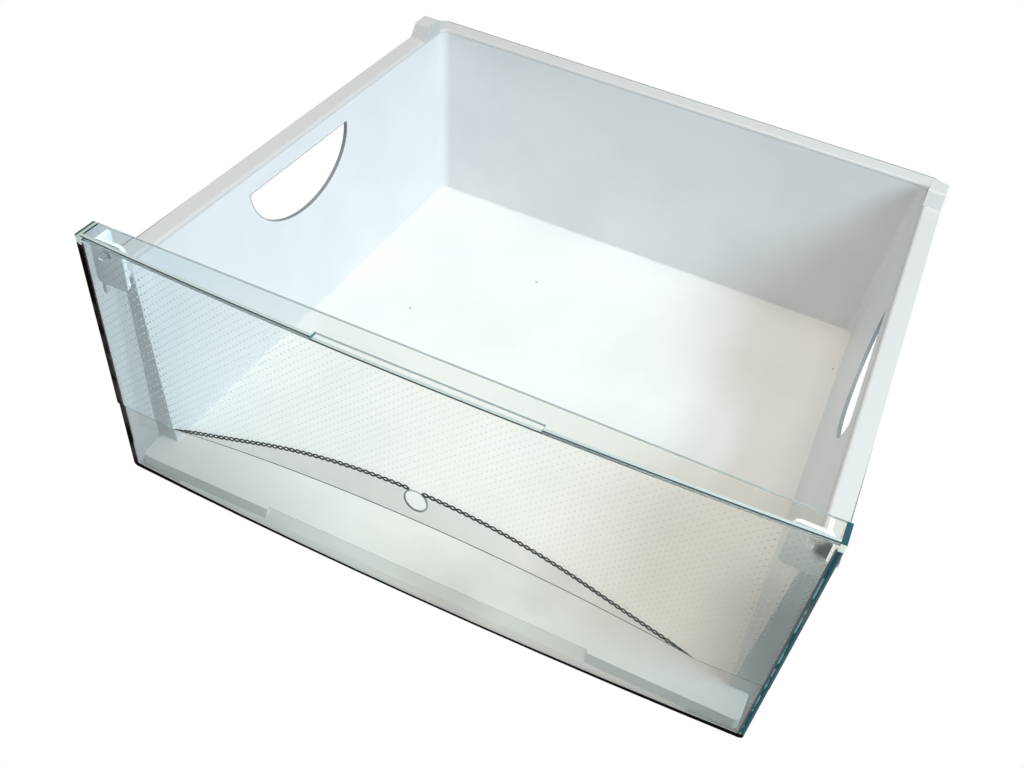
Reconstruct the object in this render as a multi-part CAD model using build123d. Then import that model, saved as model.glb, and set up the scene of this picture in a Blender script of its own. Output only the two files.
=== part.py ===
from build123d import *

import os
from math import radians, tan

# Fridge drawer: a white moulded tub with an open front, closed by a clear moulded front panel
# that clips to it. All sizes are in millimetres. While modelling, Y runs back from the front
# corners of the panel and Z runs up from the surface that the drawer stands on. At the end both
# pieces move together so that the origin is at the middle of the base.

# Front panel: outline
panel_width_top = 456.0
panel_side_draft = 4.7
panel_height = 195.5
panel_bow_top = 6.3
panel_bow_bottom = 4.9
panel_wall = 3.0
plate_wall_top = 2.0
plate_wall_bottom = 3.6
panel_foot_radius = 3.0

# Front panel: flanges that turn back from the front plate
top_flange_depth = 15.5
side_flange_depth = 26.0
bottom_flange_depth = 20.0

# Front panel: recessed lower field, its arched upper edge and the scoop under the arch
field_recess = 1.1
step_height = 61.0
arch_side_gap = 45.8
arch_peak_rise = 67.0
arch_crown_radius = 310.0
scoop_end_gap = 3.0
scoop_rise = 18.4
scoop_tilt = 0.6

# Front panel: shallow grip notch in the middle of the top front edge
notch_length = 137.0
notch_depth = 6.0
notch_drop = 1.8

# Tub: inside of the moulding, measured from the panel's top corners and from its own rim
wall = 2.5
floor_top = 10.3
rim_drop = 32.5
cavity_inset = 11.2
cavity_draft = 11.5
cavity_taper = 0.6
cavity_depth = 416.0
back_draft = 6.0
cavity_corner_radius = 7.0
floor_radius = 2.0

# Tub: rim that slides on the ledges of the cabinet
rim_land_side = 13.8
rim_land_rear = 15.3
rim_thickness = 2.5
rim_corner_radius = 14.0
rim_edge_radius = 2.5

# Tub: raised stops at the rear corners of the rim
stop_rear_gap = 20.3
stop_length = 26.0
stop_ramp = 8.0
stop_height = 10.0
stop_edge_radius = 3.0

# Tub: half-moon hand holes in the side walls
hole_length = 121.0
hole_depth = 43.2
hole_drop = 16.1
hole_forward = 6.3
hole_corner_radius = 1.5

# Tub: ears at the front corners, which stand inside the panel
ear_width = 22.0
ear_side_gap = 2.0
ear_front = 5.5
ear_drop = 2.0
ear_web_drop = 9.0
ear_top_gap = 1.5
ear_corner_radius = 4.0

# Clips: two pegs behind the panel's top corners and two hooks under its lower edge
peg_side_gap = 15.6
peg_drop = 10.5
peg_width = 3.5
peg_thickness = 3.0
peg_overhang = 2.0
hook_place = 122.0
hook_width = 10.0
hook_length = 3.0
hook_inset = 1.5
hook_reach = 2.0

# Tub: floor carried forward over the panel's lower flange
lip_front = 8.6
lip_side_gap = 2.5
lip_wing_reach = 2.4
lip_corner_radius = 4.0
lip_lean = 0.8
lip_wing_lean = 0.33

# Tub: skid ribs on the underside
skid_place = 120.0
skid_width = 3.0
skid_front = 45.0
skid_rear_gap = 10.0

# Fits and working margins
seat_gap = 0.2
clip_gap = 0.3
rim_gap = 0.4
overcut = 20.0

# Values that follow from the sizes above
rim_top = panel_height - rim_drop
rim_under = rim_top - rim_thickness
rim_front = top_flange_depth + rim_gap
rim_rear = cavity_depth + rim_land_rear
panel_rim_gap = rim_under - rim_gap
panel_inner_floor = panel_wall
panel_inner_top = panel_height - panel_wall
front_reach = max(panel_bow_top, panel_bow_bottom)
frame_middle = (rim_rear - front_reach) / 2
flange_front = side_flange_depth + seat_gap
flange_rear = flange_front + wall
floor_under = floor_top - wall
floor_rear = cavity_depth - back_draft
ear_rear = ear_front + wall
ear_bottom = rim_top - ear_drop
ear_web_bottom = rim_top - ear_web_drop
ear_top = panel_inner_top - ear_top_gap
peg_height = panel_height - peg_drop
hole_top = rim_top - hole_drop


def between(low, high, share):
    """Return the value that lies the given share of the way from low to high."""
    return low + (high - low) * share


def panel_half_width(height):
    """Return the panel's outer half width at a height above the base."""
    return panel_width_top / 2 - panel_side_draft * (1 - height / panel_height)


def panel_bow(height):
    """Return how far the middle of the front stands ahead of its ends at a height."""
    return between(panel_bow_bottom, panel_bow_top, height / panel_height)


def panel_front(place, height):
    """Return where the front of the panel lies, at a distance from its middle and at a height."""
    share = place / panel_half_width(height)
    return -panel_bow(height) * (1 - share**2)


def cavity_half_width(height, depth):
    """Return the tub's inside half width at a height and at a distance behind the front."""
    lean = cavity_draft * (rim_top - height) / (rim_top - floor_top)
    return panel_width_top / 2 - cavity_inset - lean - depth * tan(radians(cavity_taper))


def rim_half_width(depth):
    """Return the rim's outer half width at a distance behind the front."""
    return cavity_half_width(rim_top, depth) + rim_land_side


def panel_section(height, side_inset, front_inset, rear):
    """Return a level cut of the panel's block, bowed in front and straight behind."""
    half = panel_half_width(height) - side_inset
    corner = front_inset
    crown = front_inset - panel_bow(height)
    with BuildSketch(Plane.XY.offset(height)) as section:
        with BuildLine():
            ThreePointArc((-half, corner), (0, crown), (half, corner))
            Polyline((half, corner), (half, rear), (-half, rear), (-half, corner))
        make_face()
    return section.sketch


def panel_block():
    """Return the whole block that the panel is cut from."""
    low = panel_section(0, 0, 0, side_flange_depth)
    high = panel_section(panel_height, 0, 0, side_flange_depth)
    return loft([low, high], ruled=True)


def panel_hollow():
    """Return the inside of the tray, open to the rear; the plate in front of it thins upwards."""
    rear = side_flange_depth + overcut
    low = panel_section(panel_inner_floor, panel_wall, plate_wall_bottom, rear)
    high = panel_section(panel_inner_top, panel_wall, plate_wall_top, rear)
    return loft([low, high], ruled=True)


def front_prism(outline):
    """Return a prism from an outline in the front view that passes through the whole front."""
    face = Plane.XZ * outline
    return extrude(face, amount=overcut + front_reach, both=True)


peg_place = panel_half_width(peg_height) - peg_side_gap
arch_half_span = panel_half_width(step_height) - arch_side_gap
scoop_half_span = arch_half_span - scoop_end_gap


def arch_outline():
    """Return the scoop: flanks joined by a round crown above, one flat arc below."""
    low = step_height
    with BuildSketch() as outline:
        with BuildLine():
            left = (-arch_half_span, low)
            peak = (0, low + arch_peak_rise)
            right = (arch_half_span, low)
            FilletPolyline(left, peak, right, radius=arch_crown_radius)
            Line(right, (scoop_half_span, low))
            ThreePointArc((scoop_half_span, low), (0, low + scoop_rise), (-scoop_half_span, low))
            Line((-scoop_half_span, low), left)
        make_face()
    return outline.sketch


def lower_field_outline():
    """Return the recessed field: all of the front under the step and under the flat arc."""
    side = panel_width_top / 2 + overcut
    low = step_height
    with BuildSketch() as outline:
        with BuildLine():
            Line((-side, low), (-scoop_half_span, low))
            ThreePointArc((-scoop_half_span, low), (0, low + scoop_rise), (scoop_half_span, low))
            Polyline((scoop_half_span, low), (side, low), (side, -overcut), (-side, -overcut), (-side, low))
        make_face()
    return outline.sketch


def block_between(low, high):
    """Return a box from its lowest and highest corners."""
    size = [b - a for a, b in zip(low, high)]
    centre = [(a + b) / 2 for a, b in zip(low, high)]
    return Pos(*centre) * Box(*size)


def both_sides(shape):
    """Return a shape of the right side together with its mirror image on the left."""
    return [shape, mirror(shape, about=Plane.YZ)]


def make_front_panel():
    """Return the clear tray: front plate, flanges, decor step, grip notch and clips."""
    block = panel_block()
    foot_edges = block.edges().filter_by(Axis.Y).group_by(Axis.Z)[0]
    panel = fillet(foot_edges, panel_foot_radius)

    # Recess of the lower field, and the scoop that leans back towards the arch
    shifted = Pos(0, field_recess, 0) * block
    panel -= front_prism(lower_field_outline()) - shifted
    hinge = Pos(0, field_recess, step_height)
    leaning = hinge * Rot(-scoop_tilt, 0, 0) * Pos(0, 0, -step_height) * block
    panel -= front_prism(arch_outline()) - leaning

    panel -= panel_hollow()

    # The flanges end at their own depths: the sides reach the tub only below its rim
    side = panel_width_top / 2 + overcut
    rear = side_flange_depth + overcut
    panel -= block_between((-side, top_flange_depth, panel_rim_gap), (side, rear, panel_height + overcut))
    inner = panel_half_width(0) - panel_wall - panel_foot_radius
    foot_top = panel_inner_floor + seat_gap
    panel -= block_between((-inner, bottom_flange_depth, -overcut), (inner, rear, foot_top))

    # Grip notch
    notch_half = notch_length / 2
    notch_back = notch_depth - panel_bow_top
    panel -= block_between(
        (-notch_half, -front_reach - overcut, panel_height - notch_drop),
        (notch_half, notch_back, panel_height + overcut),
    )

    # Pegs that pass through the tub's ears, and windows for the tub's hooks
    peg_root = panel_front(peg_place, peg_height) + plate_wall_top / 2
    peg = peg_block(0, peg_root, ear_rear + peg_overhang)
    for side_peg in both_sides(peg):
        panel += side_peg
    window = hook_block(clip_gap, -overcut)
    for side_window in both_sides(window):
        panel -= side_window
    return panel


def peg_block(gap, front, rear):
    """Return the right-hand peg's block between two depths, widened by a gap."""
    half_width = peg_width / 2 + gap
    half_height = peg_thickness / 2 + gap
    return block_between(
        (peg_place - half_width, front, peg_height - half_height),
        (peg_place + half_width, rear, peg_height + half_height),
    )


def hook_block(gap, low):
    """Return the right-hand hook's block, widened by a gap and reaching down to a height."""
    half = hook_width / 2 + gap
    front = lip_front + hook_inset
    return block_between(
        (hook_place - half, front - gap, low),
        (hook_place + half, front + hook_length + gap, floor_under + wall / 2),
    )


def level_corners(height, half_front, half_rear, front, rear):
    """Return the corners of a level outline with straight sides that run in towards the rear."""
    return [
        (-half_front, front, height),
        (half_front, front, height),
        (half_rear, rear, height),
        (-half_rear, rear, height),
    ]


def flat_face(corners):
    """Return the flat face with the given corners."""
    return Face(Wire.make_polygon(corners))


def tub_corners(height, front, rear, grow):
    """Return the corners of a level cut of the tub's body, grown outwards by a wall."""
    half_front = cavity_half_width(height, front) + grow
    half_rear = cavity_half_width(height, rear + grow) + grow
    return level_corners(height, half_front, half_rear, front, rear + grow)


def tub_block(low, front, grow):
    """Return the tub's tapered block with round rear corners and a round edge at the floor."""
    floor = tub_corners(low, front, floor_rear, grow)
    rim = tub_corners(rim_top, front, cavity_depth, grow)
    faces = [flat_face(floor), flat_face(rim)]
    for corner in range(len(floor)):
        before = corner - 1
        faces.append(flat_face([floor[before], floor[corner], rim[corner], rim[before]]))
    block = Solid(Shell(faces))
    upright_edges = block.edges().group_by(Axis.Z)[1].sort_by(Axis.Y)
    block = fillet(upright_edges[-2:], cavity_corner_radius + grow)
    floor_edges = block.edges().group_by(Axis.Z)[0].sort_by(Axis.Y)
    return fillet(floor_edges[1:], floor_radius + grow)


def rim_plate():
    """Return the flat rim with round rear corners, before the cavity is cut out of it."""
    half_front = rim_half_width(rim_front)
    half_rear = rim_half_width(rim_rear)
    outline = flat_face(level_corners(rim_under, half_front, half_rear, rim_front, rim_rear))
    rear_corners = outline.vertices().group_by(Axis.Y)[-1]
    outline = outline.fillet_2d(rim_corner_radius, rear_corners)
    return extrude(outline, amount=rim_thickness, dir=(0, 0, 1))


def front_flange():
    """Return the plate round the open front, against which the panel's sides end."""
    half_low = panel_half_width(0) - seat_gap - panel_foot_radius
    half_high = panel_half_width(rim_under) - seat_gap
    low_corners = [(-half_low, seat_gap), (half_low, seat_gap)]
    high_corners = [(half_high, rim_under), (-half_high, rim_under)]
    outline = Polyline(*low_corners, *high_corners, close=True)
    plate = extrude(Plane.XZ * make_face(outline), amount=-wall)
    return Pos(0, flange_front, 0) * plate


def rear_stop():
    """Return the right-hand stop: a block as wide as the rim, with a ramp in front."""
    high = rim_top + stop_height
    stop_end = rim_rear - stop_rear_gap
    stop_start = stop_end - stop_length
    outline = Polyline(
        (stop_start, rim_under),
        (stop_start, rim_top),
        (stop_start + stop_ramp, high),
        (stop_end, high),
        (stop_end, rim_under),
        close=True,
    )
    face = make_face(outline)
    face = fillet(face.vertices().group_by(Axis.Y)[-1], stop_edge_radius)
    inner = cavity_half_width(rim_top, stop_start)
    stop = extrude(Plane.YZ * face, amount=rim_half_width(stop_end) - inner)
    return Pos(inner, 0, 0) * stop


def hand_hole():
    """Return a prism through both side walls: the lower half of an ellipse under a straight top."""
    half = hole_length / 2
    hole_centre = cavity_depth / 2 - hole_forward
    with BuildSketch(Plane.YZ) as outline:
        with BuildLine():
            Line((hole_centre - half, hole_top), (hole_centre + half, hole_top))
            EllipticalCenterArc((hole_centre, hole_top), half, hole_depth, 180, arc_size=180)
        make_face()
        fillet(outline.vertices(), hole_corner_radius)
    return extrude(outline.sketch, amount=panel_width_top, both=True)


def front_ear():
    """Return the right-hand ear: the side wall carried forward, with a front plate and a window."""
    ear_outer_edge = panel_half_width(ear_bottom) - panel_wall - ear_side_gap
    ear_height = ear_top - ear_bottom
    plate_outline = RectangleRounded(ear_width, ear_height, ear_corner_radius)
    plate_outline = Pos(ear_outer_edge - ear_width / 2, ear_bottom + ear_height / 2) * plate_outline
    plate = Pos(0, ear_front, 0) * extrude(Plane.XZ * plate_outline, amount=-wall)
    web_inner = cavity_half_width(rim_top, 0)
    web_outer = web_inner + wall
    web = block_between((web_inner, ear_front, ear_web_bottom), (web_outer, flange_rear, rim_top))
    post = block_between((web_inner, ear_front, rim_top), (web_outer, rim_front, ear_top))
    return plate + web + post - peg_block(clip_gap, ear_front - overcut, ear_rear + overcut)


def lip_hook():
    """Return the right-hand hook under the floor lip, down into its window."""
    return hook_block(0, panel_inner_floor - hook_reach)


def lip_prism(left, right, front, rear, lean, low, high):
    """Return a prism across the floor lip, whose front leans ahead towards its foot."""
    corners = [
        (front - lean * (floor_top - high), high),
        (front - lean * (floor_top - low), low),
        (rear, low),
        (rear, high),
    ]
    section = make_face(Plane.YZ * Polyline(*corners, close=True))
    return Pos(left, 0, 0) * extrude(section, right - left, dir=(1, 0, 0))


def lip_block(low, high, inset):
    """Return the block under the floor lip's outline, which steps ahead from the hooks outwards."""
    half = panel_half_width(floor_under) - panel_wall - lip_side_gap - inset
    wing_inner = hook_place - hook_width / 2 + inset
    rear = flange_rear - inset
    block = lip_prism(-wing_inner, wing_inner, lip_front + inset, rear, lip_lean, low, high)
    wing_front = lip_front - lip_wing_reach + inset
    wing = lip_prism(wing_inner, half, wing_front, rear, lip_wing_lean, low, high)
    end_edges = wing.edges().group_by(Axis.X)[-1]
    wing = fillet(end_edges.sort_by(Axis.Y)[0], lip_corner_radius - inset)
    for shape in both_sides(wing):
        block += shape
    return block


def floor_lip():
    """Return the floor's forward lip, turned down ahead and at its ends to the panel's flange."""
    low = panel_inner_floor + rim_gap
    return lip_block(low, floor_top, 0) - lip_block(low - overcut, floor_under, wall)


def skid_rib():
    """Return the right-hand skid rib, from the base up into the floor."""
    return block_between(
        (skid_place - skid_width / 2, skid_front, 0),
        (skid_place + skid_width / 2, floor_rear - skid_rear_gap, floor_under + wall / 2),
    )


def make_tub():
    """Return the white tub: shell, rim, front flange, stops, ears, clips and skids."""
    tub = tub_block(floor_under, flange_front, wall) + rim_plate() + front_flange()
    tub -= tub_block(floor_top, -overcut, 0)
    inside = cavity_half_width(rim_top, 0) + wall
    rim_edges = [
        edge
        for edge in tub.edges().group_by(Axis.Z)[-1]
        if abs(edge.center().X) < inside and rim_front < edge.center().Y < cavity_depth + wall
    ]
    tub = fillet(rim_edges, rim_edge_radius)
    tub -= hand_hole()
    tub += floor_lip()
    for make_side in (rear_stop, front_ear, lip_hook, skid_rib):
        for shape in both_sides(make_side()):
            tub += shape
    return tub


to_frame = Pos(0, -frame_middle, 0)
os.makedirs("parts", exist_ok=True)
export_step(to_frame * make_front_panel(), "parts/front_panel.step")
export_step(to_frame * make_tub(), "parts/tub.step")
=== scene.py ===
"""Looks of a fridge drawer: a white moulded tub closed in front by a clear bowed panel.

Lengths are in metres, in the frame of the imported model: X to the right as seen from the front,
Y from the front panel to the back, Z up from the surface that the drawer stands on.
"""

import logging
import math
from dataclasses import dataclass
from enum import Enum
from functools import partial, reduce

import bpy
import numpy as np
from mathutils import Matrix, Vector


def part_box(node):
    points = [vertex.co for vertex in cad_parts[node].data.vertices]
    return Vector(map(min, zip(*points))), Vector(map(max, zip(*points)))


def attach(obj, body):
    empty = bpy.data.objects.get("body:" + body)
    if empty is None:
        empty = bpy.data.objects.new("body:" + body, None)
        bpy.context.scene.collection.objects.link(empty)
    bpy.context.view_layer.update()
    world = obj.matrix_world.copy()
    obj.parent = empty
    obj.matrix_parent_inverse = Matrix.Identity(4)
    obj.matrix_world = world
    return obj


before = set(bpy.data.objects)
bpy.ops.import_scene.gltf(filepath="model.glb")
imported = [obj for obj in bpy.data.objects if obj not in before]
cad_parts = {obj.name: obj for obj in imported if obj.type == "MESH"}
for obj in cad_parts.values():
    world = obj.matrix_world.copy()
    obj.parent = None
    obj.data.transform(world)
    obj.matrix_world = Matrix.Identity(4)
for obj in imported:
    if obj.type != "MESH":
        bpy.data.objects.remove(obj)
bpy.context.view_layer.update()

LOG = logging.getLogger("fridge_drawer")
BODY = "root"
MM = 0.001

# Radius that closes the end of a tube
CLOSED_RADIUS = 0.001 * MM

# Places of the colour sockets in the list of a Mix node
MIX_SHARE = 0
MIX_FIRST = 6
MIX_SECOND = 7
MIX_RESULT = 2

Place = tuple[float, float, float]
Colour = tuple[float, float, float, float]
Socket = bpy.types.NodeSocket
Feed = Socket | float | Colour


class Carried(Enum):
    """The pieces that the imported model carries."""

    TUB = "tub"
    PANEL = "front_panel"


class Strand(Enum):
    """The two strands of the bead, which swing to opposite sides of its path."""

    FIRST = 1
    SECOND = -1


def opaque(red: float, green: float, blue: float) -> Colour:
    """Return a solid colour from its three parts."""
    return (red, green, blue, 1.0)


@dataclass(frozen=True)
class Layer:
    """A colour that lies over others, and the share of it at each place."""

    share: Socket
    colour: Feed


class Graph:
    """A node tree with short calls for the nodes that are used here."""

    def __init__(self, tree: bpy.types.NodeTree) -> None:
        """Start from an empty tree.

        Args:
            tree: The node tree of a material or of the world.
        """
        self.tree = tree
        tree.nodes.clear()

    def node(self, kind: str, **settings: object) -> bpy.types.Node:
        """Add a node.

        Args:
            kind: The node's type name.
            settings: Properties of the node and their values.

        Returns:
            The new node.
        """
        made = self.tree.nodes.new(kind)
        for name, value in settings.items():
            setattr(made, name, value)
        return made

    def feed(self, socket: Socket, value: Feed) -> None:
        """Link a socket to another one, or set it to a constant.

        Args:
            socket: The input to feed.
            value: An output to link from, or the constant.
        """
        if isinstance(value, bpy.types.NodeSocket):
            self.tree.links.new(value, socket)
        else:
            socket.default_value = value

    def math(self, operation: str, *values: Feed) -> Socket:
        """Combine numbers with one operation.

        Args:
            operation: The name of the operation.
            values: Outputs or constants, in order.

        Returns:
            The output that carries the result.
        """
        made = self.node("ShaderNodeMath", operation=operation)
        for socket, value in zip(made.inputs, values):
            self.feed(socket, value)
        return made.outputs[0]

    def above(self, value: Socket, limit: float) -> Socket:
        """Return 1 where a value is over a limit, and 0 elsewhere."""
        return self.math("GREATER_THAN", value, limit)

    def below(self, value: Socket, limit: float) -> Socket:
        """Return 1 where a value is under a limit, and 0 elsewhere."""
        return self.math("LESS_THAN", value, limit)

    def near(self, value: Socket, middle: float, reach: float) -> Socket:
        """Return 1 where a value lies within a reach of the middle, and 0 elsewhere."""
        apart = self.math("ABSOLUTE", self.math("SUBTRACT", value, middle))
        return self.below(apart, reach)

    def without(self, share: Socket) -> Socket:
        """Return what a share leaves of 1."""
        return self.math("SUBTRACT", 1.0, share)

    def both(self, *shares: Socket) -> Socket:
        """Return the product of shares, which is 1 only where all of them are 1."""
        return reduce(partial(self.math, "MULTIPLY"), shares)

    def either(self, *shares: Socket) -> Socket:
        """Return the largest of shares, which is 1 where any of them is 1."""
        return reduce(partial(self.math, "MAXIMUM"), shares)

    def length(self, first: Socket, second: Socket) -> Socket:
        """Return the root of the sum of two squares."""
        squared = self.math("MULTIPLY_ADD", first, first, self.math("MULTIPLY", second, second))
        return self.math("SQRT", squared)

    def ramp(self, value: Feed, start: float, end: float) -> Socket:
        """Give a smooth rise from 0 to 1.

        Args:
            value: The number that the rise follows.
            start: The number where it leaves 0.
            end: The number where it reaches 1.

        Returns:
            The output that carries the rise.
        """
        made = self.node("ShaderNodeMapRange", interpolation_type="SMOOTHSTEP")
        self.feed(made.inputs["Value"], value)
        self.feed(made.inputs["From Min"], start)
        self.feed(made.inputs["From Max"], end)
        return made.outputs["Result"]

    def blend(self, share: Feed, first: Feed, second: Feed) -> Socket:
        """Mix two colours.

        Args:
            share: The share of the second colour.
            first: The first colour.
            second: The second colour.

        Returns:
            The mixed colour.
        """
        made = self.node("ShaderNodeMix", data_type="RGBA")
        self.feed(made.inputs[MIX_SHARE], share)
        self.feed(made.inputs[MIX_FIRST], first)
        self.feed(made.inputs[MIX_SECOND], second)
        return made.outputs[MIX_RESULT]

    def cover(self, colour: Feed, layers: list[Layer]) -> Feed:
        """Lay colours over a first one.

        Args:
            colour: The colour underneath.
            layers: What lies over it, from the lowest to the highest.

        Returns:
            The colour that shows.
        """
        for layer in layers:
            colour = self.blend(layer.share, colour, layer.colour)
        return colour

    def noise(self, place: Feed, scale: float, detail: float) -> Socket:
        """Give a cloudy pattern of numbers around one half.

        Args:
            place: The place on the object.
            scale: Number of waves in a metre.
            detail: Number of finer patterns that are added.

        Returns:
            The output that carries the pattern.
        """
        made = self.node("ShaderNodeTexNoise")
        self.feed(made.inputs["Vector"], place)
        self.feed(made.inputs["Scale"], scale)
        self.feed(made.inputs["Detail"], detail)
        return made.outputs["Fac"]

    def bump(self, height: Feed, strength: float, distance: float) -> Socket:
        """Give a normal that is tilted by a pattern of heights.

        Args:
            height: The pattern, from 0 to 1.
            strength: The share of the tilt that is kept.
            distance: The height that 1 stands for.

        Returns:
            The tilted normal.
        """
        made = self.node("ShaderNodeBump")
        self.feed(made.inputs["Strength"], strength)
        self.feed(made.inputs["Distance"], distance)
        self.feed(made.inputs["Height"], height)
        return made.outputs["Normal"]

    def plastic(self, values: dict[str, Feed]) -> Socket:
        """Give a Principled shader.

        Args:
            values: Its inputs, by name.

        Returns:
            The shader.
        """
        made = self.node("ShaderNodeBsdfPrincipled")
        for name, value in values.items():
            self.feed(made.inputs[name], value)
        return made.outputs[0]

    def mix_shader(self, share: Feed, first: Socket, second: Socket) -> Socket:
        """Mix two shaders.

        Args:
            share: The share of the second shader.
            first: The first shader.
            second: The second shader.

        Returns:
            The mixed shader.
        """
        made = self.node("ShaderNodeMixShader")
        self.feed(made.inputs[0], share)
        self.feed(made.inputs[1], first)
        self.feed(made.inputs[2], second)
        return made.outputs[0]

    def surface(self, shader: Socket) -> bpy.types.Node:
        """Show a shader on the surface.

        Args:
            shader: The shader.

        Returns:
            The material's output node.
        """
        made = self.node("ShaderNodeOutputMaterial")
        self.feed(made.inputs["Surface"], shader)
        return made

    def object_place(self) -> Socket:
        """Return the place on the object, in its own axes."""
        return self.node("ShaderNodeTexCoord").outputs["Object"]

    def axes(self, place: Socket) -> tuple[Socket, Socket, Socket]:
        """Split a place.

        Args:
            place: The place.

        Returns:
            Its X, Y and Z parts.
        """
        made = self.node("ShaderNodeSeparateXYZ")
        self.feed(made.inputs[0], place)
        return made.outputs[0], made.outputs[1], made.outputs[2]


def new_material(name: str) -> tuple[bpy.types.Material, Graph]:
    """Make an empty material.

    Args:
        name: The material's name.

    Returns:
        The material and its node tree.
    """
    made = bpy.data.materials.new(name)
    made.use_nodes = True
    return made, Graph(made.node_tree)


@dataclass(frozen=True)
class Cloud:
    """A cloudy pattern, cut between two levels of its noise."""

    scale: float
    low: float
    high: float
    detail: float = 3.0

    def share(self, graph: Graph, place: Socket) -> Socket:
        """Return 0 where the noise is under the low level, rising to 1 at the high one."""
        return graph.ramp(graph.noise(place, self.scale, self.detail), self.low, self.high)


@dataclass(frozen=True)
class PanelPoint:
    """A place on the panel as sockets: its axes, and how far it lies behind the front and inside the side."""

    place: Socket
    x: Socket
    y: Socket
    z: Socket
    depth: Socket
    inside: Socket


@dataclass(frozen=True)
class PanelShape:
    """The clear panel's bowed front: a plate that bulges ahead and is wider at the top."""

    half_width_top: float
    height: float
    side_draft: float = 4.7 * MM
    bow_top: float = 6.3 * MM
    bow_bottom: float = 4.9 * MM
    corner_y: float = -212.5 * MM
    wall: float = 3.0 * MM
    face_depth: float = 0.55 * MM

    @classmethod
    def from_frame(cls) -> "PanelShape":
        """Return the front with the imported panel's own width and height."""
        _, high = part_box(Carried.PANEL.value)
        return cls(half_width_top=high.x, height=high.z)

    def front(self, x: np.ndarray, z: np.ndarray) -> np.ndarray:
        """Return Y on the front: the corner line less a parabola that grows with height.

        Args:
            x: Distances from the middle.
            z: Heights.

        Returns:
            Y at each place.
        """
        share = z / self.height
        half = self.half_width_top - self.side_draft * (1.0 - share)
        bow = self.bow_bottom + (self.bow_top - self.bow_bottom) * share
        return self.corner_y - bow * (1.0 - (x / half) ** 2)

    def point_nodes(self, graph: Graph) -> PanelPoint:
        """Give the same surface as nodes.

        Args:
            graph: The tree to add to.

        Returns:
            The place that is shaded, measured from the panel's front and side.
        """
        place = graph.object_place()
        x, y, z = graph.axes(place)
        share = graph.math("DIVIDE", z, self.height)
        half_bottom = self.half_width_top - self.side_draft
        half = graph.math("MULTIPLY_ADD", share, self.side_draft, half_bottom)
        bow = graph.math("MULTIPLY_ADD", share, self.bow_top - self.bow_bottom, self.bow_bottom)
        across = graph.math("DIVIDE", x, half)
        hollow = graph.without(graph.math("MULTIPLY", across, across))
        ahead = graph.math("MULTIPLY", bow, hollow)
        depth = graph.math("ADD", graph.math("SUBTRACT", y, self.corner_y), ahead)
        inside = graph.math("SUBTRACT", half, graph.math("ABSOLUTE", x))
        return PanelPoint(place, x, y, z, depth, inside)


@dataclass(frozen=True)
class ArchLine:
    """The arched step: two straight flanks that a round crown joins."""

    step_height: float = 61.0 * MM
    half_span: float = 178.97 * MM
    peak_rise: float = 67.0 * MM
    crown_radius: float = 310.0 * MM

    def height(self, x: np.ndarray) -> np.ndarray:
        """Return the arch's height: the lower of its flanks, and the crown's circle between them.

        Args:
            x: Distances from the middle.

        Returns:
            Height at each distance.
        """
        slope = self.peak_rise / self.half_span
        lean = math.atan(slope)
        peak = self.step_height + self.peak_rise
        centre = peak - self.crown_radius / math.cos(lean)
        flank = peak - slope * np.abs(x)
        within = np.clip(self.crown_radius**2 - x**2, 0.0, None)
        crown = centre + np.sqrt(within)
        return np.where(np.abs(x) < self.crown_radius * math.sin(lean), crown, flank)


@dataclass(frozen=True)
class PadPlace:
    """Where the plain oval pad lies, just under the arch's crown."""

    middle_x: float = -1.5 * MM
    middle_z: float = 98.0 * MM
    half_width: float = 8.0 * MM
    half_height: float = 9.5 * MM

    def reach_nodes(self, graph: Graph, x: Socket, z: Socket) -> Socket:
        """Give the distance from the pad's middle, measured in its own half sizes.

        Args:
            graph: The tree to add to.
            x: Distance from the drawer's middle.
            z: Height.

        Returns:
            0 at the pad's middle and 1 on its outline.
        """
        aside = graph.math("DIVIDE", graph.math("SUBTRACT", x, self.middle_x), self.half_width)
        above = graph.math("DIVIDE", graph.math("SUBTRACT", z, self.middle_z), self.half_height)
        return graph.length(aside, above)


@dataclass(frozen=True)
class ScoopLine:
    """The lower edge of the scoop under the arch: a flat arc that ends in the straight step."""

    step_height: float = 61.0 * MM
    half_span: float = 175.97 * MM
    rise: float = 18.4 * MM

    def above_nodes(self, graph: Graph, x: Socket, z: Socket) -> Socket:
        """Give the distance above the line: from the arc within its span, from the step outside it.

        Args:
            graph: The tree to add to.
            x: Distance from the middle.
            z: Height.

        Returns:
            The distance, negative below the line.
        """
        radius = (self.half_span**2 + self.rise**2) / (2.0 * self.rise)
        centre = self.step_height + self.rise - radius
        from_centre = graph.length(x, graph.math("SUBTRACT", z, centre))
        from_arc = graph.math("SUBTRACT", from_centre, radius)
        from_step = graph.math("SUBTRACT", z, self.step_height)
        within = graph.below(graph.math("ABSOLUTE", x), self.half_span)
        gap = graph.math("SUBTRACT", from_arc, from_step)
        return graph.math("MULTIPLY_ADD", within, gap, from_step)


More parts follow.
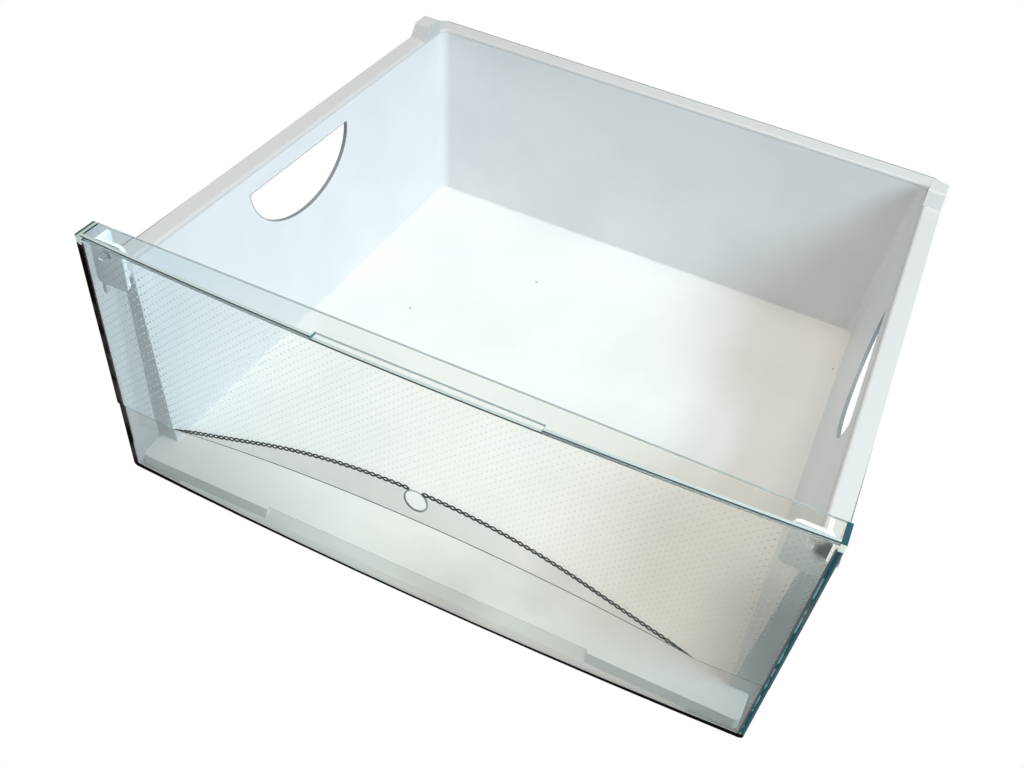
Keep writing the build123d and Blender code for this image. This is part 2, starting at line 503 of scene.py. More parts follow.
@dataclass(frozen=True)
class HandHole:
    """The half-moon hole in each side wall: the lower half of an ellipse under a straight top."""

    middle_y: float = -10.8 * MM
    top: float = 146.9 * MM
    half_length: float = 60.5 * MM
    depth: float = 43.2 * MM
    edge: float = 0.5 * MM

    def edge_nodes(self, graph: Graph, y: Socket, z: Socket) -> Socket:
        """Give the hole's edge as nodes: places near the ellipse below its top, or near the top.

        Args:
            graph: The tree to add to.
            y: Distance along the drawer.
            z: Height.

        Returns:
            1 on the edge and 0 elsewhere.
        """
        edge_share = self.edge / self.depth
        drop = graph.math("SUBTRACT", self.top, z)
        across = graph.math("DIVIDE", graph.math("SUBTRACT", y, self.middle_y), self.half_length)
        reach = graph.length(across, graph.math("DIVIDE", drop, self.depth))
        on_arc = graph.both(graph.near(reach, 1.0, edge_share), graph.above(drop, -self.edge))
        on_top = graph.both(graph.near(drop, 0.0, self.edge), graph.below(reach, math.sqrt(1.0 + edge_share)))
        return graph.either(on_arc, on_top)


@dataclass(frozen=True)
class Mark:
    """A ragged spot: a crumb, or painted shade."""

    place: Place
    radius: float = 1.4 * MM
    colour: Colour = opaque(0.10, 0.07, 0.04)
    softness: float = 1.3
    waves: float = 1.26
    detail: float = 2.0

    def layer(self, graph: Graph, place: Socket) -> Layer:
        """Give the spot: whole near its middle, fading past its ragged edge.

        Args:
            graph: The tree to add to.
            place: The place on the object.

        Returns:
            The spot's share and colour.
        """
        apart = graph.node("ShaderNodeVectorMath", operation="DISTANCE")
        graph.feed(apart.inputs[0], place)
        graph.feed(apart.inputs[1], self.place)
        noise = graph.noise(place, self.waves / self.radius, self.detail)
        edge = graph.math("MULTIPLY_ADD", noise, self.radius, apart.outputs["Value"])
        return Layer(graph.without(graph.ramp(edge, self.radius, self.softness * self.radius)), self.colour)


@dataclass(frozen=True)
class WhitePlastic:
    """Smooth white moulded plastic: painted light on the lip and ears, painted shade on the rim, its edge and
    the hand holes, marks on the ears, a few crumbs.
    """

    hole: HandHole = HandHole()
    cloud: Cloud = Cloud(scale=14.0, low=0.35, high=0.7)
    pale: Colour = opaque(0.81, 0.81, 0.82)
    deep: Colour = opaque(0.77, 0.775, 0.785)
    # Painted light: the lip and ears, which stand in shade behind the panel, are made paler.
    lip_and_ear_painted_light: Colour = opaque(0.96, 0.96, 0.96)
    # Painted shade: the rim's top is made greyer than the rest of the tub.
    rim_painted_shade: Colour = opaque(0.61, 0.60, 0.605)
    # Painted shade: a thin dark line along the rim's outer side and rear edge.
    rim_edge_painted_shade: Colour = opaque(0.20, 0.20, 0.20)
    # Painted shade on the hand holes' cut edges.
    hole_edge_painted_shade: Colour = opaque(0.26, 0.28, 0.29)
    crumbs: tuple[Mark, ...] = (
        Mark((-139.3 * MM, 24.8 * MM, 10.3 * MM)),
        Mark((-64.3 * MM, 112.7 * MM, 10.3 * MM)),
        Mark((196.6 * MM, 141.4 * MM, 11.0 * MM)),
    )
    left_ear_mark: Mark = Mark(
        place=(-210.7 * MM, -207.0 * MM, 184.9 * MM),
        radius=3.5 * MM,
        colour=opaque(0.22, 0.10, 0.09),
    )
    # Painted shade: a dark blotch where the right ear lies in shadow.
    right_ear_painted_shade: Mark = Mark(
        place=(221.0 * MM, -207.0 * MM, 181.0 * MM),
        radius=7.0 * MM,
        colour=opaque(0.012, 0.014, 0.022),
        softness=1.9,
    )
    lip_top: float = 9.9 * MM
    rim_front: float = -196.6 * MM
    rim_under: float = 160.4 * MM
    wall_inner: float = 200.0 * MM
    rim_half: float = 229.4 * MM
    rim_rear: float = 217.8 * MM
    roughness: float = 0.34
    grain_scale: float = 700.0
    grain_detail: float = 2.0
    grain_strength: float = 0.12
    grain_height: float = 0.05 * MM

    def tones(self, graph: Graph, place: Socket) -> list[Layer]:
        """Give the tones over the plain white: painted light on the lip and ears, painted shade on the rim,
        the rim's edge line and the hand holes' edges.

        Args:
            graph: The tree to add to.
            place: The place on the tub.

        Returns:
            The tones, from the lowest to the highest.
        """
        x, y, z = graph.axes(place)
        width = graph.math("ABSOLUTE", x)
        above_rim = graph.above(z, self.rim_under)
        lip_or_ear = graph.either(above_rim, graph.below(z, self.lip_top))
        in_panel = graph.both(graph.below(y, self.rim_front), lip_or_ear)
        on_rim = graph.both(graph.above(y, self.rim_front), above_rim)
        at_edge = graph.either(graph.above(width, self.rim_half), graph.above(y, self.rim_rear))
        in_wall = graph.above(width, self.wall_inner)
        return [
            Layer(in_panel, self.lip_and_ear_painted_light),
            Layer(on_rim, self.rim_painted_shade),
            Layer(graph.both(at_edge, on_rim), self.rim_edge_painted_shade),
            Layer(graph.both(self.hole.edge_nodes(graph, y, z), in_wall), self.hole_edge_painted_shade),
        ]

    def make(self) -> bpy.types.Material:
        """Build the material.

        Returns:
            The material.
        """
        made, graph = new_material("white_plastic")
        place = graph.object_place()
        white = graph.blend(self.cloud.share(graph, place), self.pale, self.deep)
        marks = (*self.crumbs, self.left_ear_mark, self.right_ear_painted_shade)
        crumbs_and_painted_shade = [mark.layer(graph, place) for mark in marks]
        grain = graph.noise(place, self.grain_scale, self.grain_detail)
        shader = graph.plastic(
            {
                "Base Color": graph.cover(white, self.tones(graph, place) + crumbs_and_painted_shade),
                "Roughness": self.roughness,
                "Normal": graph.bump(grain, self.grain_strength, self.grain_height),
            }
        )
        graph.surface(shader)
        return made


@dataclass(frozen=True)
class DotLattice:
    """Fine raised dashes in a square pattern whose rows rise to the right."""

    row_angle: float = math.radians(45.0)
    pitch: float = 3.9 * MM
    half_length: float = 1.3 * MM
    half_width: float = 0.8 * MM
    dot_height: float = 0.06 * MM
    dot_strength: float = 1.0

    def nodes(self, graph: Graph, x: Socket, z: Socket) -> Socket:
        """Give the pattern as nodes: a smooth oval bump round the middle of each square.

        Args:
            graph: The tree to add to.
            x: Distance from the middle.
            z: Height.

        Returns:
            A height from 0 between the dashes to 1 on their tops.
        """
        cosine = math.cos(self.row_angle)
        sine = math.sin(self.row_angle)
        along = graph.math("MULTIPLY_ADD", x, cosine, graph.math("MULTIPLY", z, sine))
        across = graph.math("MULTIPLY_ADD", z, cosine, graph.math("MULTIPLY", x, -sine))
        aside = graph.math("DIVIDE", self.from_middle(graph, along), self.half_length)
        above = graph.math("DIVIDE", self.from_middle(graph, across), self.half_width)
        return graph.without(graph.ramp(graph.length(aside, above), 0.0, 1.0))

    def from_middle(self, graph: Graph, place: Socket) -> Socket:
        """Return the distance from the middle of the square that a place lies in."""
        count = graph.math("DIVIDE", place, self.pitch)
        return graph.math("MULTIPLY", graph.math("SUBTRACT", graph.math("FRACT", count), 0.5), self.pitch)


@dataclass(frozen=True)
class FieldTint:
    """The tint of the clear field, painted light and shade: cooler to the left and warmer to the right,
    shaded dots, a shaded lower right end, and shade on the recessed face below the arch.
    """

    shape: PanelShape
    scoop: ScoopLine
    pad: PadPlace
    # Painted shade on the raised dots, cooler on the left and warmer on the right.
    dot_shade_left: Colour = opaque(0.47, 0.51, 0.53)
    dot_shade_right: Colour = opaque(0.71, 0.70, 0.67)
    # Painted light: the clear field is cooler to the left and warmer to the right.
    clear_left: Colour = opaque(0.86, 0.92, 0.95)
    clear_right: Colour = opaque(1.0, 0.975, 0.92)
    # Painted shade: the lower right end is darkened where the flange behind it is in shade.
    right_end_shade: Colour = opaque(0.60, 0.595, 0.58)
    # Painted shade on the recessed face below the arch.
    recess_painted_shade: Colour = opaque(0.60, 0.58, 0.56)
    # Painted shade along the step's edge.
    line: Colour = opaque(0.03, 0.045, 0.04)
    tint_start: float = -210.0 * MM
    tint_end: float = 20.0 * MM
    end_start: float = 150.0 * MM
    end_end: float = 222.0 * MM
    end_low_share: float = 0.6
    end_high_share: float = 0.95
    recess_shade_start: float = 30.0 * MM
    recess_shade_end: float = 170.0 * MM
    recess_shade_depth: float = 1.25 * MM
    wisps: Cloud = Cloud(scale=9.0, low=0.35, high=0.8)
    line_width: float = 0.7 * MM

    def recess_shade_share(self, graph: Graph, at: PanelPoint) -> Socket:
        """Give the painted shade on the recessed face: at both sides, in the scoop's left, and in wisps.

        Args:
            graph: The tree to add to.
            at: The place on the panel.

        Returns:
            1 in full painted shade and 0 where it is clear, as behind the pad.
        """
        below_arch = graph.near(at.depth, self.recess_shade_depth, self.recess_shade_depth - self.shape.face_depth)
        aside = graph.ramp(graph.math("ABSOLUTE", at.x), self.recess_shade_start, self.recess_shade_end)
        leftward = graph.without(graph.ramp(at.x, -self.recess_shade_start, self.recess_shade_end))
        in_scoop = graph.both(graph.above(self.scoop.above_nodes(graph, at.x, at.z), 0.0), leftward)
        cloud = graph.either(aside, in_scoop, self.wisps.share(graph, at.place))
        off_pad = graph.above(self.pad.reach_nodes(graph, at.x, at.z), 1.0)
        return graph.both(below_arch, cloud, off_pad)

    def colour(self, graph: Graph, at: PanelPoint, dots: Socket) -> Feed:
        """Give the tint of light that passes through the panel.

        Args:
            graph: The tree to add to.
            at: The place on the panel.
            dots: The dots' height, from 0 to 1.

        Returns:
            The colour.
        """
        rightward = graph.ramp(at.x, self.tint_start, self.tint_end)
        clear = graph.blend(rightward, self.clear_left, self.clear_right)
        height = self.shape.height
        low = graph.without(graph.ramp(at.z, self.end_low_share * height, self.end_high_share * height))
        right_end = graph.both(graph.ramp(at.x, self.end_start, self.end_end), low)
        layers = [
            Layer(right_end, self.right_end_shade),
            Layer(dots, graph.blend(rightward, self.dot_shade_left, self.dot_shade_right)),
            Layer(self.recess_shade_share(graph, at), self.recess_painted_shade),
        ]
        return graph.cover(clear, layers)

    def line_layer(self, graph: Graph, at: PanelPoint) -> Layer:
        """Give the fine dark line of painted shade along the scoop's lower edge and the straight step.

        Args:
            graph: The tree to add to.
            at: The place on the panel.

        Returns:
            The line's share and colour.
        """
        on_line = graph.near(self.scoop.above_nodes(graph, at.x, at.z), 0.0, self.line_width / 2)
        on_front = graph.below(at.depth, self.shape.wall / 2)
        return Layer(graph.both(on_line, on_front), self.line)


@dataclass(frozen=True)
class BorderShadeAndGlint:
    """Painted shade and glints on the plate's border, where clear plastic seen into its edges looks dark: its
    outer strip at both sides and at its foot.
    """

    shape: PanelShape
    black: Colour = opaque(0.010, 0.008, 0.008)
    brown: Colour = opaque(0.075, 0.062, 0.060)
    grey: Colour = opaque(0.16, 0.18, 0.19)
    # Painted shade and glints on the right edge: dark teal streaks and pale teal glints.
    teal: Colour = opaque(0.03, 0.13, 0.155)
    ice: Colour = opaque(0.30, 0.55, 0.57)
    brown_cloud: Cloud = Cloud(scale=45.0, low=0.42, high=0.6)
    teal_cloud: Cloud = Cloud(scale=45.0, low=0.36, high=0.5)
    ice_cloud: Cloud = Cloud(scale=110.0, low=0.46, high=0.56)
    width: float = 4.2 * MM
    teal_middle: float = 2.1 * MM
    teal_half: float = 1.05 * MM
    ice_middle: float = 2.52 * MM
    ice_half: float = 0.42 * MM
    top_gap: float = 6.0 * MM
    foot_middle: float = 2.4 * MM
    foot_end: float = 4.2 * MM

    def over_foot(self, graph: Graph, at: PanelPoint) -> Socket:
        """Give how far a place lies above the dark foot, which widens with x squared to both ends.

        Args:
            graph: The tree to add to.
            at: The place on the panel.

        Returns:
            The distance, below zero in the foot.
        """
        across = graph.math("DIVIDE", at.x, self.shape.half_width_top)
        squared = graph.math("MULTIPLY", across, across)
        top = graph.math("MULTIPLY_ADD", squared, self.foot_end - self.foot_middle, self.foot_middle)
        return graph.math("SUBTRACT", at.z, top)

    def colour(self, graph: Graph, at: PanelPoint) -> Socket:
        """Give the painted shade: black and brown on the left, black at the foot, grey and teal with pale
        glints on the right.

        Args:
            graph: The tree to add to.
            at: The place on the panel.

        Returns:
            The colour.
        """
        off_foot = graph.above(self.over_foot(graph, at), 0.0)
        brown = graph.both(self.brown_cloud.share(graph, at.place), off_foot)
        left = graph.blend(brown, self.black, self.brown)
        teal_strip = graph.near(at.inside, self.teal_middle, self.teal_half)
        ice_strip = graph.near(at.inside, self.ice_middle, self.ice_half)
        layers = [
            Layer(graph.both(self.teal_cloud.share(graph, at.place), teal_strip), self.teal),
            Layer(graph.both(self.ice_cloud.share(graph, at.place), ice_strip), self.ice),
        ]
        on_right = graph.both(graph.above(at.x, 0.0), off_foot)
        return graph.blend(on_right, left, graph.cover(self.grey, layers))

    def layer(self, graph: Graph, at: PanelPoint) -> Layer:
        """Give the border's painted shade and glints.

        Args:
            graph: The tree to add to.
            at: The place on the panel.

        Returns:
            The border's share and colour.
        """
        in_plate = graph.below(at.depth, self.shape.wall + self.shape.face_depth)
        under_top = graph.below(at.z, self.shape.height - self.top_gap)
        side = graph.both(graph.below(at.inside, self.width), under_top)
        foot = graph.below(self.over_foot(graph, at), 0.0)
        return Layer(graph.both(graph.either(side, foot), in_plate), self.colour(graph, at))


@dataclass(frozen=True)
class EdgeShadeAndGlint:
    """Painted shade and highlights at the panel's moulded upper edges, where clear plastic looks dark or
    pale.
    """

    shape: PanelShape
    end_green: Colour = opaque(0.01, 0.07, 0.045)
    end_teal: Colour = opaque(0.012, 0.075, 0.10)
    end_pale: Colour = opaque(0.45, 0.52, 0.49)
    rear_dark: Colour = opaque(0.60, 0.62, 0.62)
    rear_pale: Colour = opaque(0.96, 0.98, 0.98)
    notch_pale: Colour = opaque(0.93, 0.98, 0.98)
    notch_dark: Colour = opaque(0.05, 0.20, 0.19)
    brow_pale: Colour = opaque(0.50, 0.56, 0.56)
    brow_dark: Colour = opaque(0.03, 0.04, 0.04)
    end_width: float = 3.3 * MM
    end_fade_start: float = 0.99 * MM
    end_fade_end: float = 1.98 * MM
    brow_width: float = 1.0 * MM
    rear_line_width: float = 0.7 * MM
    flange_depth: float = 15.5 * MM
    notch_half: float = 68.5 * MM
    notch_drop: float = 1.8 * MM
    notch_depth: float = 6.0 * MM
    skin: float = 0.15 * MM

    def brow(self, graph: Graph, at: PanelPoint) -> Layer:
        """Give the top of the front plate: a painted pale strip behind a painted dark line.

        Args:
            graph: The tree to add to.
            at: The place on the panel.

        Returns:
            The strip's share and colour.
        """
        middle = self.shape.wall / 2
        on_top = graph.above(at.z, self.shape.height - self.notch_drop - self.skin)
        share = graph.both(graph.near(at.depth, middle, middle - self.skin / 2), on_top)
        behind_line = graph.above(at.depth, self.brow_width)
        return Layer(share, graph.blend(behind_line, self.brow_dark, self.brow_pale))

    def ends(self, graph: Graph, at: PanelPoint) -> Layer:
        """Give the ends of the top face in painted shade: a green line on the left, a teal patch on the
        right.

        Args:
            graph: The tree to add to.
            at: The place on the panel.

        Returns:
            The ends' share and colour.
        """
        on_top = graph.above(at.z, self.shape.height - self.skin)
        share = graph.both(graph.below(at.inside, self.end_width), on_top)
        fade = graph.ramp(at.inside, self.end_fade_start, self.end_fade_end)
        left = graph.blend(fade, self.end_green, self.end_pale)
        return Layer(share, graph.blend(graph.above(at.x, 0.0), left, self.end_teal))

    def rear(self, graph: Graph, at: PanelPoint) -> Layer:
        """Give the top flange's rear face: painted pale, with a painted dark line along its upper and lower
        edge.

        Args:
            graph: The tree to add to.
            at: The place on the panel.

        Returns:
            The face's share and colour.
        """
        wall = self.shape.wall
        on_rear = graph.near(at.y, self.shape.corner_y + self.flange_depth, self.skin)
        share = graph.both(on_rear, graph.above(at.z, self.shape.height - wall - self.skin))
        between = graph.near(at.z, self.shape.height - wall / 2, wall / 2 - self.rear_line_width)
        return Layer(share, graph.blend(between, self.rear_dark, self.rear_pale))

    def notch(self, graph: Graph, at: PanelPoint) -> Layer:
        """Give the grip notch's upright faces in painted light and shade: a pale long one and two dark ends.

        Args:
            graph: The tree to add to.
            at: The place on the panel.

        Returns:
            The faces' share and colour.
        """
        rear = self.shape.corner_y - self.shape.bow_top + self.notch_depth
        width = graph.math("ABSOLUTE", at.x)
        at_end = graph.near(width, self.notch_half, self.skin)
        faces = graph.either(graph.near(at.y, rear, self.skin), at_end)
        between = graph.below(width, self.notch_half + self.skin)
        ahead = graph.below(at.y, rear + self.skin)
        above = graph.above(at.z, self.shape.height - self.notch_drop - self.skin)
        share = graph.both(faces, between, ahead, above)
        return Layer(share, graph.blend(at_end, self.notch_pale, self.notch_dark))

    def layers(self, graph: Graph, at: PanelPoint) -> list[Layer]:
        """Return all the painted edges, from the lowest to the highest."""
        return [paint(graph, at) for paint in (self.brow, self.ends, self.rear, self.notch)]


@dataclass(frozen=True)
class ClearPlastic:
    """Clear plastic with a dotted field, and painted light and shade: a tinted field, dark borders and lines
    at its moulded edges.
    """

    shape: PanelShape
    tint: FieldTint
    border: BorderShadeAndGlint
    edges: EdgeShadeAndGlint
    lattice: DotLattice = DotLattice()
    lamp_share: Colour = opaque(0.84, 0.86, 0.86)
    depth_colour: Colour = opaque(0.30, 0.70, 0.66)
    depth_density: float = 7.0
    refraction: float = 1.58
    roughness: float = 0.04
    gloss: float = 0.5
    border_dulling: float = 0.5

    def make(self) -> bpy.types.Material:
        """Build the material.

        Returns:
            The material.
        """
        made, graph = new_material("clear_plastic")
        at = self.shape.point_nodes(graph)
        on_face = graph.below(at.depth, self.shape.face_depth)
        dots = graph.both(self.lattice.nodes(graph, at.x, at.z), on_face)
        border = self.border.layer(graph, at)
        edges = self.edges.layers(graph, at)
        clear = self.tint.colour(graph, at, dots)
        painted = graph.either(border.share, *(edge.share for edge in edges))
        gloss = graph.math("MULTIPLY_ADD", border.share, -self.border_dulling, self.gloss)
        shader = graph.plastic(
            {
                "Base Color": graph.cover(clear, [border, self.tint.line_layer(graph, at), *edges]),
                "Roughness": self.roughness,
                "IOR": self.refraction,
                "Transmission Weight": graph.without(painted),
                "Specular IOR Level": gloss,
                "Normal": graph.bump(dots, self.lattice.dot_strength, self.lattice.dot_height),
            }
        )
        self.show(graph, shader)
        return made

    def show(self, graph: Graph, shader: Socket) -> None:
        """Show a shader, with a faint shadow, and tint the light that runs far through the plastic.

        Args:
            graph: The tree to add to.
            shader: What all light meets but the rays that look for a lamp.
        """
        passing = graph.node("ShaderNodeBsdfTransparent")
        graph.feed(passing.inputs["Color"], self.lamp_share)
        path = graph.node("ShaderNodeLightPath")
        shown = graph.mix_shader(path.outputs["Is Shadow Ray"], shader, passing.outputs[0])
        body = graph.node("ShaderNodeVolumeAbsorption")
        graph.feed(body.inputs["Color"], self.depth_colour)
        graph.feed(body.inputs["Density"], self.depth_density)
        graph.feed(graph.surface(shown).inputs["Volume"], body.outputs[0])


@dataclass(frozen=True)
class DarkBead:
    """The dark look of clear plastic seen edge-on in the bead along the arch."""

    dark: Colour = opaque(0.010, 0.012, 0.012)
    light: Colour = opaque(0.05, 0.06, 0.055)
    cloud: Cloud = Cloud(scale=160.0, low=0.4, high=0.7, detail=2.0)
    roughness: float = 0.35

    def make(self) -> bpy.types.Material:
        """Build the material.

        Returns:
            The material.
        """
        made, graph = new_material("dark_bead")
        cloud = self.cloud.share(graph, graph.object_place())
        colour = graph.blend(cloud, self.dark, self.light)
        graph.surface(graph.plastic({"Base Color": colour, "Roughness": self.roughness}))
        return made


@dataclass(frozen=True)
class PadPlastic:
    """The clear, frosted look of the pad, with a teal grey outline."""

    place: PadPlace
    pale: Colour = opaque(0.98, 0.98, 0.98)
    outline: Colour = opaque(0.42, 0.52, 0.51)
    outline_start: float = 0.83
    outline_end: float = 0.95
    roughness: float = 0.3
    refraction: float = 1.05

    def make(self) -> bpy.types.Material:
        """Build the material.

        Returns:
            The material.
        """
        made, graph = new_material("pad_plastic")
        x, _, z = graph.axes(graph.object_place())
        reach = self.place.reach_nodes(graph, x, z)
        edge = graph.ramp(reach, self.outline_start, self.outline_end)
        shader = graph.plastic(
            {
                "Base Color": graph.blend(edge, self.pale, self.outline),
                "Roughness": self.roughness,
                "IOR": self.refraction,
                "Transmission Weight": graph.without(edge),
            }
        )
        graph.surface(shader)
        return made


def add_mesh(
    name: str, places: np.ndarray, quads: np.ndarray, material: bpy.types.Material
) -> bpy.types.Object:
    """Make a smooth mesh object at the origin.

    Args:
        name: The piece's name.
        places: One row of X, Y and Z for each corner.
        quads: Four corner numbers for each face.
        material: The material of all faces.

    Returns:
        The new object.
    """
    mesh = bpy.data.meshes.new(name)
    mesh.vertices.add(len(places))
    mesh.vertices.foreach_set("co", places.astype(np.float32).ravel())
    mesh.loops.add(quads.size)
    mesh.loops.foreach_set("vertex_index", quads.astype(np.int32).ravel())
    mesh.polygons.add(len(quads))
    mesh.polygons.foreach_set("loop_start", np.arange(0, quads.size, 4, dtype=np.int32))
    mesh.polygons.foreach_set("use_smooth", np.ones(len(quads), dtype=bool))
    mesh.update(calc_edges=True)
    mesh.validate()
    mesh.materials.append(material)
    made = bpy.data.objects.new(name, mesh)
    bpy.context.scene.collection.objects.link(made)
    return made


def fix_to_panel(piece: bpy.types.Object) -> None:
    """Fix a new piece to the drawer.

    Args:
        piece: The piece.
    """
    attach(piece, BODY)
    LOG.info("built %s with %d faces", piece.name, len(piece.data.polygons))


def ring_quads(rings: int, sides: int) -> np.ndarray:
    """Return the faces between neighbouring closed rings of corners.

    Args:
        rings: Number of rings.
        sides: Corners of each ring.

    Returns:
        Four corner numbers for each face.
    """
    rows = np.arange(rings - 1)[:, None] * sides
    columns = np.arange(sides)[None, :]
    after = (columns + 1) % sides
    quads = np.stack([rows + columns, rows + after, rows + sides + after, rows + sides + columns], axis=2)
    return quads.reshape(-1, 4)


def tube(path: np.ndarray, radius: np.ndarray, sides: int) -> tuple[np.ndarray, np.ndarray]:
    """Carry a ring along a path in the front view, and close both ends by drawing the rings in.

    Corner (i, k) is path point i, plus the ring's k-th direction in the plane of Y and of the
    path's normal in XZ, times the radius there. The first and last rings have a tiny radius.

    Args:
        path: Points of the middle line.
        radius: The ring's radius at each point.
        sides: Corners of the ring.

    Returns:
        The corners and the faces.
    """
    along = np.gradient(path, axis=0)
    along[:, 1] = 0.0
    along /= np.linalg.norm(along, axis=1, keepdims=True)
    normal = np.stack([-along[:, 2], np.zeros(len(path)), along[:, 0]], axis=1)
    turn = np.linspace(0.0, 2.0 * math.pi, sides, endpoint=False)
    ring = np.cos(turn)[None, :, None] * normal[:, None, :]
    ring = ring + np.sin(turn)[None, :, None] * np.array([0.0, -1.0, 0.0])
    closed = radius.copy()
    closed[[0, -1]] = CLOSED_RADIUS
    places = path[:, None, :] + closed[:, None, None] * ring
    return places.reshape(-1, 3), ring_quads(len(path), sides)


@dataclass
class ArchBead:
    """The twisted bead along the arch: two fine strands that cross at equal steps, parted at the pad."""

    panel: PanelShape
    arch: ArchLine
    pad: PadPlace
    finish: DarkBead = DarkBead()
    crossing_pitch: float = 4.4 * MM
    lift: float = 0.8 * MM
    set_back: float = 0.2 * MM
    swing: float = 1.35 * MM
    radius: float = 0.6 * MM
    end_share: float = 0.05
    end_radius_share: float = 0.35
    part_half: float = 4.0 * MM
    points: int = 1400
    sides: int = 8

    def strand(self, which: Strand, material: bpy.types.Material) -> bpy.types.Object:
        """Build one strand: the arch moved up and down by a sine of the distance along it.

        The swing and the radius shrink towards both ends of the arch. The stretch above the pad's
        middle is left out, so the strand is two tubes.

        Args:
            which: The strand, which sets the sine's sign.
            material: The strand's material.

        Returns:
            The strand's object.
        """
        x = np.linspace(-self.arch.half_span, self.arch.half_span, self.points)
        z = self.arch.height(x) + self.lift
        steps = np.hypot(np.diff(x), np.diff(z))
        run = np.concatenate([[0.0], np.cumsum(steps)])
        to_end = np.minimum(run, run[-1] - run) / (self.end_share * run[-1])
        swing = which.value * self.swing * np.clip(to_end, 0.0, 1.0)
        z = z + swing * np.sin(math.pi * run / self.crossing_pitch)
        path = np.stack([x, self.panel.front(x, z) + self.set_back, z], axis=1)
        radius = self.radius * np.clip(to_end + self.end_radius_share, 0.0, 1.0)
        from_pad = x - self.pad.middle_x
        left = from_pad < -self.part_half
        right = from_pad > self.part_half
        left_places, left_quads = tube(path[left], radius[left], self.sides)
        right_places, right_quads = tube(path[right], radius[right], self.sides)
        places = np.concatenate([left_places, right_places])
        quads = np.concatenate([left_quads, right_quads + len(left_places)])
        return add_mesh(f"arch_bead_{which.name.lower()}", places, quads, material)

    def build(self) -> None:
        """Build both strands and fix them to the drawer."""
        material = self.finish.make()
        for which in Strand:
            fix_to_panel(self.strand(which, material))


@dataclass
class CrownPad:
    """The plain oval pad just under the arch's crown."""

    panel: PanelShape
    place: PadPlace
    half_depth: float = 0.7 * MM
    set_back: float = 1.1 * MM
    squareness: float = 0.45
    pole_spread: float = 0.0001
    rings: int = 24
    sides: int = 48

    def build(self) -> None:
        """Build the pad and fix it to the drawer.

        The surface is a flattened ball: ring i lies at an angle from the front pole, and the sine
        and cosine of that angle are raised to a small power, which gives a flat front and a round
        edge. The first and last rings have a tiny spread. Each place is set behind the panel's
        bowed front.
        """
        angle = np.linspace(0.0, math.pi, self.rings)[:, None]
        turn = np.linspace(2.0 * math.pi, 0.0, self.sides, endpoint=False)[None, :]
        spread = np.abs(np.sin(angle)) ** self.squareness
        spread[[0, -1]] = self.pole_spread
        x = self.place.middle_x + self.place.half_width * spread * np.cos(turn)
        z = self.place.middle_z + self.place.half_height * spread * np.sin(turn)
        ahead = np.sign(np.cos(angle)) * np.abs(np.cos(angle)) ** self.squareness
        y = self.panel.front(x, z) + self.set_back - self.half_depth * ahead
        places = np.stack([x, y, z], axis=2).reshape(-1, 3)
        quads = ring_quads(self.rings, self.sides)
        fix_to_panel(add_mesh("crown_pad", places, quads, PadPlastic(self.place).make()))


@dataclass(frozen=True)
class AreaLamp:
    """A square soft lamp that points at a place."""

    name: str
    place: Place
    aim: Place
    size: float
    power: float
    colour: tuple[float, float, float]

    def build(self) -> None:
        """Add the lamp to the scene."""
        data = bpy.data.lights.new(self.name, "AREA")
        data.shape = "SQUARE"
        data.size = self.size
        data.energy = self.power
        data.color = self.colour
        lamp = bpy.data.objects.new(self.name, data)
        lamp.location = self.place
        direction = Vector(self.aim) - Vector(self.place)
        lamp.rotation_euler = direction.to_track_quat("-Z", "Y").to_euler()
        bpy.context.scene.collection.objects.link(lamp)
        LOG.info("built lamp %s", self.name)


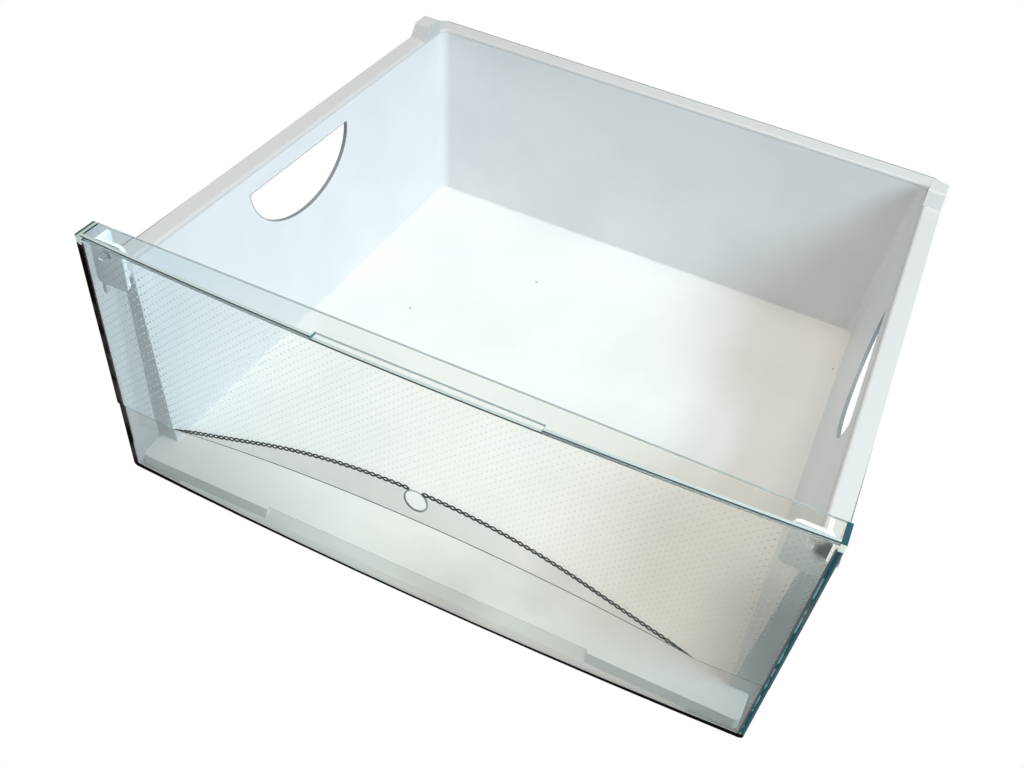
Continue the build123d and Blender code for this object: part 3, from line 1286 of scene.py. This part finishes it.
@dataclass
class Studio:
    """A white table top, soft lamps and a dim room around the drawer."""

    floor_half: float = 6.0
    floor_colour: Colour = opaque(0.60, 0.60, 0.60)
    floor_roughness: float = 0.9
    veiled_colour: Colour = opaque(0.62, 0.66, 0.66)
    backdrop_colour: Colour = opaque(0.80, 0.80, 0.80)
    room_colour: Colour = opaque(0.86, 0.95, 1.0)
    horizon_strength: float = 0.14
    overhead_strength: float = 0.64
    window: AreaLamp = AreaLamp(
        name="window",
        place=(1.2, -0.26, 1.25),
        aim=(0.0, 0.0, 0.08),
        size=0.6,
        power=20.9,
        colour=(0.72, 0.90, 1.0),
    )
    ceiling: AreaLamp = AreaLamp(
        name="ceiling",
        place=(0.1, 0.0, 1.7),
        aim=(0.05, 0.0, 0.0),
        size=0.9,
        power=11.1,
        colour=(1.0, 0.86, 0.63),
    )

    def floor(self) -> None:
        """Add the table top: white to the camera, pale through the panel, and dull for other light."""
        made, graph = new_material("table")
        matt = graph.plastic({"Base Color": self.floor_colour, "Roughness": self.floor_roughness})
        glow = graph.node("ShaderNodeEmission")
        veiled = graph.node("ShaderNodeEmission")
        graph.feed(veiled.inputs["Color"], self.veiled_colour)
        path = graph.node("ShaderNodeLightPath")
        unseen = graph.mix_shader(path.outputs["Is Transmission Ray"], matt, veiled.outputs[0])
        graph.surface(graph.mix_shader(path.outputs["Is Camera Ray"], unseen, glow.outputs[0]))
        side = self.floor_half
        places = np.array([[-side, -side, 0], [side, -side, 0], [side, side, 0], [-side, side, 0]])
        table = add_mesh("table", places, np.array([[0, 1, 2, 3]]), made)
        LOG.info("built the table")

    def room(self) -> None:
        """Light the scene softly, most from overhead, and show pale grey past the table's edge."""
        world = bpy.data.worlds.new("room")
        world.use_nodes = True
        bpy.context.scene.world = world
        graph = Graph(world.node_tree)
        direction = graph.node("ShaderNodeTexCoord").outputs["Generated"]
        upward = graph.ramp(graph.axes(direction)[2], 0.0, 1.0)
        rise = self.overhead_strength - self.horizon_strength
        dim = graph.node("ShaderNodeBackground")
        graph.feed(dim.inputs["Color"], self.room_colour)
        graph.feed(dim.inputs["Strength"], graph.math("MULTIPLY_ADD", upward, rise, self.horizon_strength))
        backdrop = graph.node("ShaderNodeBackground")
        graph.feed(backdrop.inputs["Color"], self.backdrop_colour)
        path = graph.node("ShaderNodeLightPath")
        shown = graph.mix_shader(path.outputs["Is Camera Ray"], dim.outputs[0], backdrop.outputs[0])
        output = graph.node("ShaderNodeOutputWorld")
        graph.feed(output.inputs["Surface"], shown)
        LOG.info("built the room")

    def build(self) -> None:
        """Build the table, the room and the lamps."""
        self.floor()
        self.room()
        self.window.build()
        self.ceiling.build()


@dataclass(frozen=True)
class PhotoCamera:
    """A camera at the photo's angle."""

    place: Place = (0.18395, -0.57619, 0.58538)
    azimuth: float = 16.859
    elevation: float = 43.331
    roll: float = 9.714
    lens_mm: float = 37.502
    sensor_mm: float = 36.0
    shift_x: float = -0.04977

    def build(self) -> None:
        """Add the camera and make it the scene's camera."""
        around = math.radians(self.azimuth)
        down = math.radians(self.elevation)
        turn = math.radians(self.roll)
        level = math.cos(down)
        look = Vector((-math.sin(around) * level, math.cos(around) * level, -math.sin(down)))
        level_right = look.cross(Vector((0.0, 0.0, 1.0))).normalized()
        level_up = level_right.cross(look)
        right = level_right * math.cos(turn) + level_up * math.sin(turn)
        up = level_up * math.cos(turn) - level_right * math.sin(turn)
        matrix = Matrix((right, up, -look)).transposed().to_4x4()
        matrix.translation = Vector(self.place)
        data = bpy.data.cameras.new("photo_camera")
        data.lens = self.lens_mm
        data.sensor_width = self.sensor_mm
        data.shift_x = self.shift_x
        camera = bpy.data.objects.new("photo_camera", data)
        camera.matrix_world = matrix
        bpy.context.scene.collection.objects.link(camera)
        bpy.context.scene.camera = camera
        LOG.info("built the camera")


def dress(which: Carried, material: bpy.types.Material) -> None:
    """Give a carried piece its material.

    Args:
        which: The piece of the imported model.
        material: The material of all its faces.
    """
    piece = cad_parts[which.value]
    piece.data.materials.clear()
    piece.data.materials.append(material)
    LOG.info("dressed %s in %s", which.value, material.name)


def main() -> None:
    """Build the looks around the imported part."""
    logging.basicConfig(level=logging.INFO)
    panel = PanelShape.from_frame()
    pad = PadPlace()
    tint = FieldTint(panel, ScoopLine(), pad)
    dress(Carried.TUB, WhitePlastic().make())
    dress(Carried.PANEL, ClearPlastic(panel, tint, BorderShadeAndGlint(panel), EdgeShadeAndGlint(panel)).make())
    ArchBead(panel, ArchLine(), pad).build()
    CrownPad(panel, pad).build()
    Studio().build()
    PhotoCamera().build()
    bpy.context.scene.view_settings.view_transform = "Standard"


if __name__ == "__main__":
    main()
